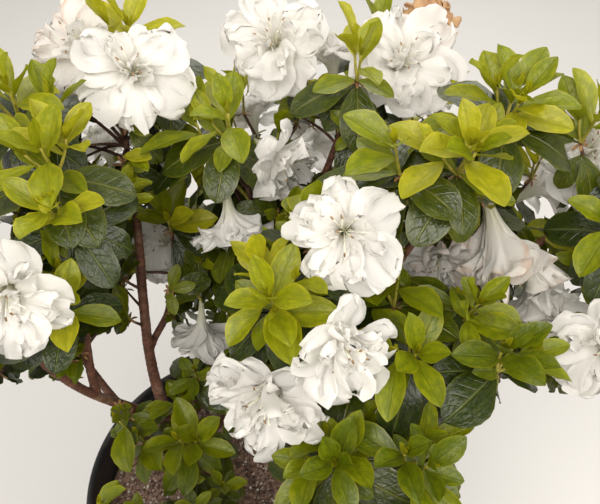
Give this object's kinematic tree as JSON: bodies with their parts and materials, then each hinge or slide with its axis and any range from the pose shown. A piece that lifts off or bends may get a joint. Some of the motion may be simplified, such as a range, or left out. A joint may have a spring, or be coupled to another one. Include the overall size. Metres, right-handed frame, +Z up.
{
  "type": "potted azalea shrub",
  "caption": "Double white azalea in a round nursery pot: a short leaning trunk, curved boughs, whorls of dark old leaves with lime young shoots, and large ruffled blooms.",
  "frame": {"origin": "middle of the pot's flat underside, on the ground", "axes": "+Z up; -Y towards the side that the plant is looked down on from; +X to the right of that view"},
  "size_m": [0.6128, 0.566, 0.6515],
  "materials": {
    "pot_plastic": "satin",
    "potting_mix": "matte",
    "bark": "matte",
    "foliage": "satin"
  },
  "bodies": {
    "root": {"pot": "pot_plastic", "potting_mix": "potting_mix", "trunk": "bark", "left_bough": "bark", "middle_bough": "bark", "centre_bough": "bark", "rear_bough": "bark", "right_bough": "bark", "front_bough": "bark", "low_branch": "bark", "left_crest_branch": "bark", "left_rear_branch": "bark", "inner_left_branch": "bark", "rear_left_branch": "bark", "rear_middle_branch": "bark", "rear_low_branch": "bark", "rear_right_branch": "bark", "front_right_branch": "bark", "right_front_branch": "bark", "right_hanging_branch": "bark", "right_rear_branch": "bark", "right_side_branch": "bark", "right_end_branch": "bark", "front_left_branch": "bark", "front_low_branch": "bark", "low_shoots_foliage": "foliage", "left_shoulder_foliage": "foliage", "left_crest_foliage": "foliage", "left_rear_foliage": "foliage", "rear_left_crest_foliage": "foliage", "rear_left_low_foliage": "foliage", "inner_left_foliage": "foliage", "rear_middle_foliage": "foliage", "rear_crest_foliage": "foliage", "rear_low_foliage": "foliage", "rear_right_foliage": "foliage", "right_rear_foliage": "foliage", "right_crest_foliage": "foliage", "right_hanging_foliage": "foliage", "right_side_foliage": "foliage", "right_end_foliage": "foliage", "centre_foliage": "foliage", "right_front_foliage": "foliage", "front_right_foliage": "foliage", "front_foliage": "foliage", "front_left_foliage": "foliage", "front_right_low_foliage": "foliage"}
  },
  "joints": []
}
